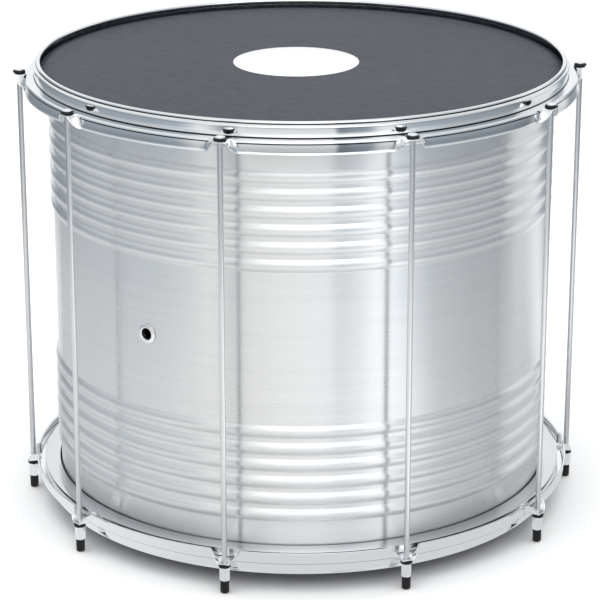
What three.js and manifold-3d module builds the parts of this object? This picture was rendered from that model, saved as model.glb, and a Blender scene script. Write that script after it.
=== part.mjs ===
// A surdo: the deep two-headed bass drum of a samba group, standing on the ends of its tension rods.
// Millimetres, +Z up. The origin is on the floor under the drum's axis, and -Y faces the vent.
// An angle is measured in degrees from -Y toward +X, and a height along the axis from the floor.
import * as THREE from "three";
import { mergeVertices } from "three/addons/utils/BufferGeometryUtils.js";
import Module from "manifold-3d";

// Shell: thin aluminium, with a band of half-round rolled ribs near each end
const shellRadius = 279.4;
const shellHeight = 479;
const shellWall = 1.2;
const ribCount = 6;
const ribPitch = 19;
const ribHeight = 3;
const ribMargin = 43.3;

// Vent: a bored eyelet in the shell's wall, halfway up
const ventBore = 13;
const eyeletFlange = 21.5;
const eyeletWall = 0.8;
const eyeletLip = 1.6;

// Heads: a flat skin over the shell's edge, and its moulded collar that hangs in the flesh ring's slot
const skinThickness = 0.8;
const skinShoulder = 2;
const skinDrop = 2.5;
const skinAboveLedge = 8.7;

// Flesh rings: a slotted ring round the shell, under the hoop's ledge
const ringClearance = 7.4;
const ringWidth = 12;
const ringHeight = 9;
const slotWidth = 3.2;
const slotInset = 3.2;
const slotDepth = 6;

// Hoops: one pressed sheet with a rolled bead, a collar, a ledge and a skirt
const hoopSheet = 2;
const collarClearance = 2.2;
const collarHeight = 17;
const beadRadius = 2.2;
const beadInset = 4.8;
const beadStartDegrees = -22.5;
const beadSweepDegrees = 225;
const shoulderDrop = 5.5;
const skirtClearance = 6.2;
const skirtHeight = 14;
const skirtBend = 3;

// Lugs: ten places where the skirt is bent out flat into an ear that takes a rod
const lugCount = 10;
const lugOffsetDegrees = 20.6;
const earFlatHalf = 7.5;
const earHalf = 16.5;
const earClearance = 0.4;

// Fastenings: rod with a domed head on a black washer, long nut, washer and rubber foot cap
const rodDiameter = 6;
const rodStandoff = 6;
const headDiameter = 10.8;
const headSide = 1.2;
const headDome = 1.4;
const headWasherDiameter = 14;
const headWasherThickness = 2.2;
const nutAcrossFlats = 10;
const nutLength = 15;
const washerDiameter = 13;
const washerThickness = 3;
const capDiameter = 9.6;
const capLength = 14.5;
const capFloor = 4;
const capRound = 2.4;

// Running clearance between pieces that seat on each other
const seat = 0.3;
// How far a cutter runs past the wall that it cuts
const overrun = 5;

// Facet counts
const turnSteps = 27;
const outerRibSteps = 3;
const innerRibSteps = 2;
const earSteps = 3;
const spanSteps = 3;
const beadSteps = 2;
const rodSides = 8;
const nutSides = 6;
const eyeletSides = 10;

// Radii, from the shell outward
const ringInner = shellRadius + ringClearance;
const ringOuter = ringInner + ringWidth;
const slotInner = ringInner + slotInset;
const slotOuter = slotInner + slotWidth;
const skinRadius = shellRadius + skinShoulder;
const skinCollarOuter = (slotInner + slotOuter + skinThickness) * 0.5;
const skinCollarInner = skinCollarOuter - skinThickness;
const collarInner = skinCollarOuter + collarClearance;
const collarOuter = collarInner + hoopSheet;
const skirtInner = ringOuter + skirtClearance;
const skirtOuter = skirtInner + hoopSheet;
const rodCircle = skirtOuter + rodStandoff;

// Heights, from the floor up
const nutBase = capLength + seat;
const washerBase = nutBase + nutLength + seat;
const lowerLedge = washerBase + washerThickness + seat;
const shellBase = lowerLedge - skinAboveLedge + skinThickness + seat;
const shellTop = shellBase + shellHeight;
const ventHeight = (shellBase + shellTop) / 2;
const upperLedge = shellTop + seat + skinThickness - skinAboveLedge;
const rodBase = capFloor + seat;
const headWasherBase = upperLedge + seat;
const headSeat = headWasherBase + headWasherThickness + seat;

const radians = THREE.MathUtils.degToRad;
const wasm = await Module();
wasm.setup();

const aluminium = new THREE.MeshStandardMaterial({ color: 0xc9cdcf, metalness: 1, roughness: 0.36 });
const chrome = new THREE.MeshStandardMaterial({ color: 0xe6eaed, metalness: 1, roughness: 0.07 });
const steel = new THREE.MeshStandardMaterial({ color: 0xc4c8cc, metalness: 1, roughness: 0.2 });
const napa = new THREE.MeshStandardMaterial({ color: 0x62666d, metalness: 0, roughness: 0.62 });
const nylon = new THREE.MeshStandardMaterial({ color: 0x101113, metalness: 0, roughness: 0.5 });
const rubber = new THREE.MeshStandardMaterial({ color: 0x0c0c0e, metalness: 0, roughness: 0.7 });

// The unit vector at an angle round the axis
function outward(angle) {
  return new THREE.Vector3(Math.sin(radians(angle)), -Math.cos(radians(angle)), 0);
}

// A solid turned about +Z from a closed profile of [radius, height], outer side going up
function turned(profile, steps = turnSteps) {
  const points = profile.map(([radius, height]) => new THREE.Vector2(radius, height));
  const onAxis = profile[0][0] === 0;
  if (!onAxis) points.push(points[0].clone());
  return new THREE.LatheGeometry(points, steps).rotateX(Math.PI / 2);
}

function regularPolygon(sides, radius) {
  return Array.from({ length: sides }, (_, side) => {
    const angle = (2 * Math.PI * side) / sides;
    return new THREE.Vector2(radius * Math.cos(angle), radius * Math.sin(angle));
  });
}

function toManifold(geometry) {
  const bare = geometry.clone();
  bare.deleteAttribute("normal");
  bare.deleteAttribute("uv");
  const merged = mergeVertices(bare);
  const vertProperties = new Float32Array(merged.attributes.position.array);
  const triVerts = new Uint32Array(merged.index.array);
  return new wasm.Manifold(new wasm.Mesh({ numProp: 3, vertProperties, triVerts }));
}

function cutBy(geometry, cutters) {
  let solid = toManifold(geometry);
  for (const cutter of cutters) solid = solid.subtract(toManifold(cutter));
  const mesh = solid.getMesh();
  const cut = new THREE.BufferGeometry();
  cut.setAttribute("position", new THREE.BufferAttribute(mesh.vertProperties, mesh.numProp));
  cut.setIndex(new THREE.BufferAttribute(mesh.triVerts, 1));
  cut.computeVertexNormals();
  return cut;
}

// Lugs stand at equal angles, the first of them a little round from the vent
const lugAngles = Array.from({ length: lugCount }, (_, lug) => lugOffsetDegrees + (360 * lug) / lugCount);

// One wall line of the shell, from its lower end up: a half wave for each rib
function ribbedLine(radius, height, steps) {
  const bandHeight = ribCount * ribPitch;
  const bands = [shellBase + ribMargin, shellTop - ribMargin - bandHeight];
  const line = [[radius, shellBase]];
  for (const base of bands) {
    for (let step = 0; step <= ribCount * steps; step++) {
      const rise = Math.abs(Math.sin((Math.PI * step) / steps));
      line.push([radius + height * rise, base + (ribPitch * step) / steps]);
    }
  }
  line.push([radius, shellTop]);
  return line;
}

function shellGeometry() {
  const facetedHeight = ribHeight * Math.sin(Math.PI / outerRibSteps);
  const outer = ribbedLine(shellRadius, ribHeight, outerRibSteps);
  const inner = ribbedLine(shellRadius - shellWall, facetedHeight, innerRibSteps);
  const cutter = new THREE.CylinderGeometry(1, 1, 1, eyeletSides);
  const cutRadius = ventBore / 2 + eyeletWall + seat;
  cutter.scale(cutRadius, shellWall + 2 * overrun, cutRadius);
  cutter.translate(0, -shellRadius + shellWall / 2, ventHeight);
  return cutBy(turned([...outer, ...inner.reverse()]), [cutter]);
}

// A grommet through the shell's wall, turned about its own bore and laid along -Y
function eyeletGeometry() {
  const bore = ventBore / 2;
  const sag = (eyeletFlange / 2) * Math.tan(Math.PI / turnSteps);
  const front = seat + eyeletLip;
  const back = -shellWall - seat - sag;
  const rear = back - eyeletLip;
  const geometry = turned([
    [bore, rear],
    [eyeletFlange / 2, back - eyeletWall],
    [eyeletFlange / 2, back],
    [bore + eyeletWall, back],
    [bore + eyeletWall, seat],
    [eyeletFlange / 2, seat],
    [eyeletFlange / 2, seat + eyeletWall],
    [bore + eyeletWall, front],
    [bore, front],
  ], eyeletSides);
  return geometry.rotateX(Math.PI / 2);
}

// A skin with its top at skinAboveLedge over the hoop's ledge at height 0
function headGeometry() {
  const base = skinAboveLedge - skinThickness;
  return turned([
    [0, base],
    [skinRadius, base],
    [skinRadius, skinAboveLedge],
    [0, skinAboveLedge],
  ]);
}

// The skin's collar, from its shoulder down to the foot of the flesh ring's slot
function headCollarGeometry() {
  const top = skinAboveLedge;
  const bendTop = top - skinDrop;
  const base = -hoopSheet - slotDepth;
  const shoulder = skinRadius + seat;
  return turned([
    [shoulder, top - skinThickness],
    [skinCollarInner, bendTop - skinThickness],
    [skinCollarInner, base],
    [skinCollarOuter, base],
    [skinCollarOuter, bendTop],
    [shoulder, top],
  ]);
}

// A ring under the ledge at height 0, slotted on the side of its head
function fleshRingGeometry() {
  const top = -hoopSheet - seat;
  const base = top - ringHeight;
  return turned([
    [ringInner, base],
    [ringOuter, base],
    [ringOuter, top],
    [slotOuter, top],
    [slotOuter, top - slotDepth],
    [slotInner, top - slotDepth],
    [slotInner, top],
    [ringInner, top],
  ]);
}

// How far the skirt is turned down, in radians, at a distance along the rim from the lug's middle
function skirtTurn(distance) {
  const share = THREE.MathUtils.clamp((Math.abs(distance) - earFlatHalf) / (earHalf - earFlatHalf), 0, 1);
  return (Math.PI / 2) * THREE.MathUtils.smoothstep(share, 0, 1);
}

// The sheet's section, its ledge at height 0 and its skirt turned down by an angle. The bend takes up
// the same length of sheet at any angle, so the skirt lies out flat in an ear without stretching.
function hoopSection(turn) {
  const bendInner = skirtBend - hoopSheet;
  const middle = (skirtBend + bendInner) / 2;
  const bendStart = skirtOuter - skirtBend;
  const flatLength = skirtHeight - skirtBend + middle * (Math.PI / 2 - turn);
  const along = [Math.cos(turn), -Math.sin(turn)];
  const across = [Math.sin(turn), Math.cos(turn)];
  const after = (radius, length) => [
    bendStart + radius * across[0] + length * along[0],
    -skirtBend + radius * across[1] + length * along[1],
  ];
  const pastBend = hoopSheet / 2;
  const bead = Array.from({ length: beadSteps + 1 }, (_, step) => {
    const angle = radians(beadStartDegrees + (beadSweepDegrees * step) / beadSteps);
    const centre = [collarOuter - beadInset, collarHeight - beadRadius];
    return [centre[0] + beadRadius * Math.cos(angle), centre[1] + beadRadius * Math.sin(angle)];
  });
  return [
    after(skirtBend, flatLength),
    after(skirtBend, pastBend),
    [bendStart, 0],
    [collarOuter, 0],
    [collarOuter, collarHeight - shoulderDrop],
    ...bead,
    [collarInner, collarHeight - shoulderDrop - hoopSheet],
    [collarInner, -hoopSheet],
    [bendStart, -hoopSheet],
    after(bendInner, pastBend),
    after(bendInner, flatLength),
  ];
}

// Stations round the rim: close together through each ear, wide apart between them
function hoopStations() {
  const stations = [];
  const degrees = 180 / (Math.PI * skirtOuter);
  const pitch = 360 / lugCount;
  for (const lug of lugAngles) {
    for (let step = earSteps; step >= 0; step--) {
      stations.push([lug, -earFlatHalf - ((earHalf - earFlatHalf) * step) / earSteps]);
    }
    for (let step = 0; step <= earSteps; step++) {
      stations.push([lug, earFlatHalf + ((earHalf - earFlatHalf) * step) / earSteps]);
    }
    const plain = pitch / degrees - 2 * earHalf;
    for (let step = 1; step < spanSteps; step++) stations.push([lug, earHalf + (plain * step) / spanSteps]);
  }
  return stations.map(([lug, distance]) => ({ angle: lug + distance * degrees, distance }));
}

function hoopGeometry() {
  const pitchLength = (2 * Math.PI * skirtOuter) / lugCount;
  const positions = [];
  const indices = [];
  const stations = hoopStations();
  const size = hoopSection(0).length;
  stations.forEach(({ angle, distance }, station) => {
    const nearest = distance - pitchLength * Math.round(distance / pitchLength);
    for (const [radius, height] of hoopSection(skirtTurn(nearest))) {
      positions.push(...outward(angle).multiplyScalar(radius).setZ(height));
    }
    for (let corner = 0; corner < size; corner++) {
      const next = (corner + 1) % size;
      const a = station * size + corner;
      const b = station * size + next;
      const c = ((station + 1) % stations.length) * size + next;
      const d = ((station + 1) % stations.length) * size + corner;
      indices.push(a, d, b, b, d, c);
    }
  });
  const loft = new THREE.BufferGeometry();
  loft.setAttribute("position", new THREE.Float32BufferAttribute(positions, 3));
  loft.setIndex(indices);
  return cutBy(loft, lugAngles.map(rodHoleCutter));
}

function rodHoleCutter(angle) {
  const radius = rodDiameter / 2 + earClearance;
  const cutter = turned([
    [0, -hoopSheet - overrun],
    [radius, -hoopSheet - overrun],
    [radius, overrun],
    [0, overrun],
  ], rodSides);
  const place = outward(angle).multiplyScalar(rodCircle);
  return cutter.rotateZ(radians(angle)).translate(place.x, place.y, 0);
}

// The long rod with its domed head on top, its foot end inside the cap
function rodGeometry() {
  const radius = rodDiameter / 2;
  return turned([
    [0, rodBase],
    [radius, rodBase],
    [radius, headSeat],
    [headDiameter / 2, headSeat],
    [headDiameter / 2, headSeat + headSide],
    [0, headSeat + headSide + headDome],
  ], rodSides);
}

function piercedPlate(outline, boreRadius, thickness) {
  const shape = new THREE.Shape(outline);
  shape.holes.push(new THREE.Path(regularPolygon(rodSides, boreRadius)));
  return new THREE.ExtrudeGeometry(shape, { depth: thickness, bevelEnabled: false });
}

function nutGeometry() {
  const corner = nutAcrossFlats / (2 * Math.cos(Math.PI / nutSides));
  return piercedPlate(regularPolygon(nutSides, corner), rodDiameter / 2 + earClearance, nutLength);
}

function washerGeometry(diameter, thickness) {
  const outline = regularPolygon(rodSides, diameter / 2);
  return piercedPlate(outline, rodDiameter / 2 + earClearance, thickness);
}

// A blind rubber cap with a rounded foot and a small flat to stand on
function capGeometry() {
  const radius = capDiameter / 2;
  const bore = rodDiameter / 2 + seat;
  return turned([
    [0, 0],
    [radius - capRound, 0],
    [radius, capRound],
    [radius, capLength],
    [bore, capLength],
    [bore, capFloor],
    [0, capFloor],
  ], rodSides);
}

function piece(name, geometry, material, height = 0) {
  const mesh = new THREE.Mesh(geometry, material);
  mesh.name = name;
  mesh.position.setZ(height);
  return mesh;
}

// The lower end holds the upper end's pieces turned upside down about a level line at an angle
function turnedOver(mesh, angle) {
  mesh.quaternion.setFromAxisAngle(outward(angle), Math.PI);
  return mesh;
}

function drumBody() {
  const body = new THREE.Group();
  const eyelet = piece("vent_eyelet", eyeletGeometry(), chrome, ventHeight);
  eyelet.position.setY(-shellRadius);
  body.add(piece("shell", shellGeometry(), aluminium), eyelet);
  const head = headGeometry();
  body.add(piece("batter_head", head, napa, upperLedge));
  body.add(turnedOver(piece("resonant_head", head, napa, lowerLedge), 0));
  const collar = headCollarGeometry();
  body.add(piece("batter_head_collar", collar, napa, upperLedge));
  body.add(turnedOver(piece("resonant_head_collar", collar, napa, lowerLedge), 0));
  const ring = fleshRingGeometry();
  body.add(piece("batter_flesh_ring", ring, steel, upperLedge));
  body.add(turnedOver(piece("resonant_flesh_ring", ring, steel, lowerLedge), 0));
  const hoop = hoopGeometry();
  body.add(piece("top_hoop", hoop, chrome, upperLedge));
  body.add(turnedOver(piece("bottom_hoop", hoop, chrome, lowerLedge), lugOffsetDegrees));
  return body;
}

function fastenings() {
  const group = new THREE.Group();
  const rod = rodGeometry();
  const nut = nutGeometry();
  const nutWasher = washerGeometry(washerDiameter, washerThickness);
  const headWasher = washerGeometry(headWasherDiameter, headWasherThickness);
  const cap = capGeometry();
  lugAngles.forEach((angle, lug) => {
    const number = String(lug + 1).padStart(2, "0");
    const set = new THREE.Group();
    set.position.copy(outward(angle).multiplyScalar(rodCircle));
    set.rotation.z = radians(angle);
    set.add(piece(`tension_rod_${number}`, rod, steel));
    set.add(piece(`tension_nut_${number}`, nut, steel, nutBase));
    set.add(piece(`nut_washer_${number}`, nutWasher, nylon, washerBase));
    set.add(piece(`head_washer_${number}`, headWasher, nylon, headWasherBase));
    set.add(piece(`foot_cap_${number}`, cap, rubber));
    group.add(set);
  });
  return group;
}

const surdo = new THREE.Group();
surdo.add(drumBody(), fastenings());

export default surdo;
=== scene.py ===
"""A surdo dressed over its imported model: every piece is a numpy surface, measured in millimetres.

An angle goes round the axis in degrees from -Y toward +X. A height is taken from the floor up.
"""

import math

import bmesh
import bpy
import numpy as np
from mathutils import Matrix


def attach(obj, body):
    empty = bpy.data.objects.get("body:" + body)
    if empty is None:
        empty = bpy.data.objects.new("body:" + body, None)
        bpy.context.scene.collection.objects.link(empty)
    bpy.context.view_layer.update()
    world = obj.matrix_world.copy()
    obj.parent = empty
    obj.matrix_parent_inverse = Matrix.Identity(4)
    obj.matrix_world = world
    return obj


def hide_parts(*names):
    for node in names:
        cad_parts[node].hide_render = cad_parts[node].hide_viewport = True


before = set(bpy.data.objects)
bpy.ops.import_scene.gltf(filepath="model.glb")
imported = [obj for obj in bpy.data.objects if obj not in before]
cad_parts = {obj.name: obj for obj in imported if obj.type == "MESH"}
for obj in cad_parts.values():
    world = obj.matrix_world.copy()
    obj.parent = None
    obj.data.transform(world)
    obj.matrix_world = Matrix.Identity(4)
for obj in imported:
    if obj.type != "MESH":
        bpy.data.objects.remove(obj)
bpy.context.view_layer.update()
MM = 0.001

# The part's named sizes, but for the ears: here their flat is narrower and their flanks are wider
SHELL_RADIUS, SHELL_HEIGHT, SHELL_WALL = 279.4, 479.0, 1.2
RIB_COUNT, RIB_PITCH, RIB_HEIGHT, RIB_MARGIN = 6, 19.0, 3.0, 43.3
VENT_BORE, EYELET_FLANGE, EYELET_WALL, EYELET_LIP = 13.0, 21.5, 0.8, 1.6
SKIN, SKIN_SHOULDER, SKIN_DROP, SKIN_ABOVE_LEDGE = 0.8, 2.0, 2.5, 8.7
RING_CLEARANCE, RING_WIDTH, RING_HEIGHT = 7.4, 12.0, 9.0
SLOT_WIDTH, SLOT_INSET, SLOT_DEPTH = 3.2, 3.2, 6.0
SHEET, COLLAR_CLEARANCE, COLLAR_HEIGHT = 2.0, 2.2, 17.0
BEAD_RADIUS, BEAD_INSET, BEAD_START, BEAD_SWEEP = 2.2, 4.8, -22.5, 225.0
SHOULDER_DROP, SKIRT_CLEARANCE, SKIRT_HEIGHT, SKIRT_BEND = 5.5, 6.2, 14.0, 3.0
LUGS, LUG_OFFSET, EAR_FLAT, EAR_HALF, CLEARANCE = 10, 20.6, 5.0, 18.5, 0.4
ROD, ROD_STANDOFF, HEAD, HEAD_SIDE, HEAD_DOME = 6.0, 6.0, 10.8, 1.2, 1.4
NUT_FLATS, NUT_LENGTH, WASHER, WASHER_THICK = 10.0, 15.0, 13.0, 3.0
HEAD_WASHER, HEAD_WASHER_THICK = 14.0, 2.2
CAP, CAP_LENGTH, CAP_FLOOR, CAP_ROUND, SEAT = 9.6, 14.5, 4.0, 2.4, 0.3

# Radii from the shell outward, then heights from the floor up
RING_INNER = SHELL_RADIUS + RING_CLEARANCE
RING_OUTER = RING_INNER + RING_WIDTH
SLOT_INNER = RING_INNER + SLOT_INSET
SLOT_OUTER = SLOT_INNER + SLOT_WIDTH
SKIN_OUTER = (SLOT_INNER + SLOT_OUTER + SKIN) / 2
COLLAR_INNER = SKIN_OUTER + COLLAR_CLEARANCE
COLLAR_OUTER = COLLAR_INNER + SHEET
SKIRT_OUTER = RING_OUTER + SKIRT_CLEARANCE + SHEET
ROD_CIRCLE = SKIRT_OUTER + ROD_STANDOFF
NUT_BASE = CAP_LENGTH + SEAT
WASHER_BASE = NUT_BASE + NUT_LENGTH + SEAT
LOWER_LEDGE = WASHER_BASE + WASHER_THICK + SEAT
SHELL_BASE = LOWER_LEDGE - SKIN_ABOVE_LEDGE + SKIN + SEAT
SHELL_TOP = SHELL_BASE + SHELL_HEIGHT
UPPER_LEDGE = SHELL_TOP + SEAT + SKIN - SKIN_ABOVE_LEDGE
HEAD_WASHER_BASE = UPPER_LEDGE + SEAT
HEAD_SEAT = HEAD_WASHER_BASE + HEAD_WASHER_THICK + SEAT
VENT = (SHELL_BASE + SHELL_TOP) / 2
LUG_ANGLES = [LUG_OFFSET + 360 * lug / LUGS for lug in range(LUGS)]

# Meshes

# Points of a piece that lie closer than this, in metres, are merged
WELD = 2e-6
# A rounded corner takes up no more than this share of a side
SIDE_SHARE = 0.45


class Sheet:
    """Grids of points that are joined into one closed mesh, in millimetres."""

    def __init__(self):
        self.points, self.quads, self.count = [], [], 0

    def grid(self, points, wrap=(False, False), skip=()):
        """Adds a grid [row, column, xyz]; a quad faces the way that columns x rows point. wrap closes it
        along rows or columns, and skip lists open blocks (low row, high row, left column, right column)."""
        rows, columns = points.shape[:2]
        index = np.arange(rows * columns).reshape(rows, columns)
        down = np.roll(index, -1, 0)
        corners = np.stack([index, np.roll(index, -1, 1), np.roll(down, -1, 1), down], -1)
        keep = np.ones((rows, columns), bool)
        if not wrap[0]:
            keep[-1] = False
        if not wrap[1]:
            keep[:, -1] = False
        for low, high, left, right in skip:
            keep[low:high, left:right] = False
        self.quads.append(corners[keep] + self.count)
        self.points.append(points.reshape(-1, 3))
        self.count += rows * columns
        return self

    def pierce(self, points, block, circle, onto=lambda place: place, rings=5):
        """Fills a grid's open block round a hole: point = rim + share * (block's edge - rim), share going
        from 0 to 1. circle gives the hole's rim for directions (across, along) on the grid, and onto lays
        a point on a curved wall. Returns the directions as angles."""
        low, high, left, right = block
        wide, tall = right - left, high - low
        row = np.concatenate([np.full(wide, low), np.arange(low, high),
                              np.full(wide, high), np.arange(high, low, -1)])
        column = np.concatenate([np.arange(left, right), np.full(tall, right),
                                 np.arange(right, left, -1), np.full(tall, left)])
        across = (column - (left + right) / 2) / (wide / 2)
        along = (row - (low + high) / 2) / (tall / 2)
        turn = np.arctan2(along, across)
        rim = circle(np.cos(turn), np.sin(turn))
        edge = points[row, column % points.shape[1]]
        share = np.linspace(0, 1, rings + 1)[None, :, None]
        patch = onto(rim[:, None] + share * (edge - rim)[:, None])
        patch[:, -1] = edge
        self.grid(patch, wrap=(True, False))
        return turn

    def moved(self, change):
        """The same sheet with a change made to its points."""
        other = Sheet()
        other.quads = self.quads
        other.points = [change(points) for points in self.points]
        return other

    def mesh(self, name, finish, body, slot, replaces=(), sharp=50):
        """Makes the object: doubles merged, and smooth but for edges sharper than an angle in degrees."""
        data = bpy.data.meshes.new(name)
        points = np.concatenate(self.points) * MM
        quads = np.concatenate(self.quads)
        data.vertices.add(len(points))
        data.vertices.foreach_set("co", points.ravel())
        data.loops.add(quads.size)
        data.loops.foreach_set("vertex_index", quads.ravel())
        data.polygons.add(len(quads))
        data.polygons.foreach_set("loop_start", np.arange(len(quads)) * 4)
        data.update(calc_edges=True)
        joined = bmesh.new()
        joined.from_mesh(data)
        bmesh.ops.remove_doubles(joined, verts=joined.verts, dist=WELD)
        joined.to_mesh(data)
        joined.free()
        data.shade_smooth()
        data.set_sharp_from_angle(angle=math.radians(sharp))
        data.materials.append(finish)
        piece = bpy.data.objects.new(name, data)
        bpy.context.scene.collection.objects.link(piece)
        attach(piece, body)
        if replaces:
            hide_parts(*replaces)


def outward(angle):
    """Unit vectors at angles in degrees round the axis: (sin a, -cos a, 0)."""
    turn = np.radians(np.asarray(angle, float))
    return np.stack([np.sin(turn), -np.cos(turn), np.zeros_like(turn)], -1)


def turned(profile, steps):
    """A profile [[radius, height], ...] carried round the axis: (radius * outward(angle), height)."""
    profile = np.asarray(profile, float)
    points = profile[:, 0, None, None] * outward(np.arange(steps) * 360 / steps)[None]
    points[..., 2] = profile[:, 1, None]
    return points


def upper_end(points):
    """A shape that has its ledge at height 0, lifted to the batter end."""
    return points + [0, 0, UPPER_LEDGE]


def lower_end(points, angle=0.0):
    """The shape at the resonant end, turned over about the level line n at an angle: 2 (p.n) n - p."""
    line = outward(angle)
    return 2 * (points @ line)[..., None] * line - points + [0, 0, LOWER_LEDGE]


def points_at(radii, heights):
    """A stretch of a profile, (radius, height) at each point, where either may be one number all along."""
    return np.stack(np.broadcast_arrays(np.asarray(radii, float), heights), -1)


def arc(centre, radius, start, end, steps):
    """Points of an arc from one angle in degrees to another: centre + radius (cos t, sin t)."""
    turn = np.radians(np.linspace(start, end, steps + 1))
    return np.stack([centre[0] + radius * np.cos(turn), centre[1] + radius * np.sin(turn)], -1)


def rounded(corners, radius, steps, closed=True):
    """A polygon whose corners are cut by quadratic curves, corner + (1 - t)^2 * back + t^2 * on, where
    back and on reach a radius along its two sides. An open one keeps its ends."""
    corners = np.asarray(corners, float)
    out = []
    for k, here in enumerate(corners):
        if not closed and k in (0, len(corners) - 1):
            out.append(here[None])
            continue
        sides = corners[k - 1] - here, corners[(k + 1) % len(corners)] - here
        back, on = (min(radius, SIDE_SHARE * np.linalg.norm(side)) * side / np.linalg.norm(side)
                    for side in sides)
        t = np.linspace(0, 1, steps + 1)[:, None]
        out.append(here + (1 - t) ** 2 * back + t ** 2 * on)
    return np.concatenate(out)


def bezier(start, start_way, end, end_way, pull, steps):
    """A cubic Bezier curve that leaves and meets its ends along two directions, pulled by one length."""
    leave, meet = (np.asarray(way, float) / np.linalg.norm(way) for way in (start_way, end_way))
    start, end = np.asarray(start, float), np.asarray(end, float)
    t = np.linspace(0, 1, steps + 1)[:, None]
    return ((1 - t) ** 3 * start + 3 * t * (1 - t) ** 2 * (start + pull * leave)
            + 3 * t * t * (1 - t) * (end - pull * meet) + t ** 3 * end)


# Finishes

# The two tones that each finish goes between
SHELL_TONES = (0.72, 0.725, 0.735), (0.92, 0.925, 0.93)
CHROME_TONES = (0.84, 0.85, 0.86), (0.90, 0.905, 0.91)
PLATE_TONES = (0.92, 0.925, 0.93), (0.97, 0.975, 0.98)
ZINC_TONES = (0.62, 0.63, 0.65), (0.96, 0.965, 0.97)
RING_TONES = (0.66, 0.67, 0.68), (0.76, 0.77, 0.78)
SKIN_TONES = (0.006, 0.008, 0.013), (0.060, 0.067, 0.086)
BLACK_TONES = (0.006, 0.006, 0.007), (0.014, 0.014, 0.016)
FILM_TONES = (0.82, 0.825, 0.84), (0.79, 0.795, 0.81)

# The shell's foot is painted in shade: it has this share of the metal's light up to the first height,
# and all of it from the second
FOOT_SHADE_SHARE, FOOT_SHADE_RISE = 0.55, (30.0, 64.0)

# The shafts' darker tone starts over the lower ledge and is full this far up
SHAFT_RISE = 3.0

# Painted shade lines on the hoops, dark in their creases, each with its radius, height and width: at the
# collar's foot above and below, under the top bead, where the top skirt leaves its bend, and on the bottom
# skirt's bend
PAINTED_CREASE_SHADES = [
    (COLLAR_OUTER + 0.1, UPPER_LEDGE + 0.3, 1.15),
    (COLLAR_OUTER + 0.1, LOWER_LEDGE - 0.3, 1.15),
    (COLLAR_OUTER - BEAD_INSET + 2.1, UPPER_LEDGE + COLLAR_HEIGHT - BEAD_RADIUS - 0.85, 1.05),
    (SKIRT_OUTER, UPPER_LEDGE - SKIRT_BEND - 0.3, 0.75),
    (SKIRT_OUTER - 1.6, LOWER_LEDGE + 0.4, 1.5),
]
# The painted shade's colour, and the share of a line's width over which it is full
CREASE_SHADE_TONE, CREASE_CORE = (0.03, 0.03, 0.035), 0.55


class Value:
    """A node's output that takes part in Python arithmetic: each operator adds one Math node."""

    def __init__(self, tree, socket):
        self.tree, self.socket = tree, socket

    def math(self, operation, *terms):
        """A Math node on the terms, or on this value alone."""
        return self.tree.node("ShaderNodeMath", {"operation": operation}, dict(enumerate(terms or [self])))

    def between(self, low, high):
        """0 up to a low value, 1 from a high one, and a smooth step from one to the other."""
        return self.tree.node("ShaderNodeMapRange", {"clamp": True, "interpolation_type": "SMOOTHSTEP"},
                              {"Value": self, "From Min": low, "From Max": high})

    def __add__(self, other):
        return self.math("ADD", self, other)

    def __radd__(self, other):
        return self.math("ADD", other, self)

    def __sub__(self, other):
        return self.math("SUBTRACT", self, other)

    def __rsub__(self, other):
        return self.math("SUBTRACT", other, self)

    def __mul__(self, other):
        return self.math("MULTIPLY", self, other)

    def __rmul__(self, other):
        return self.math("MULTIPLY", other, self)

    def __truediv__(self, other):
        return self.math("DIVIDE", self, other)

    def __rtruediv__(self, other):
        return self.math("DIVIDE", other, self)

    def __pow__(self, other):
        return self.math("POWER", self, other)

    def __rpow__(self, other):
        return self.math("POWER", other, self)


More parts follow.
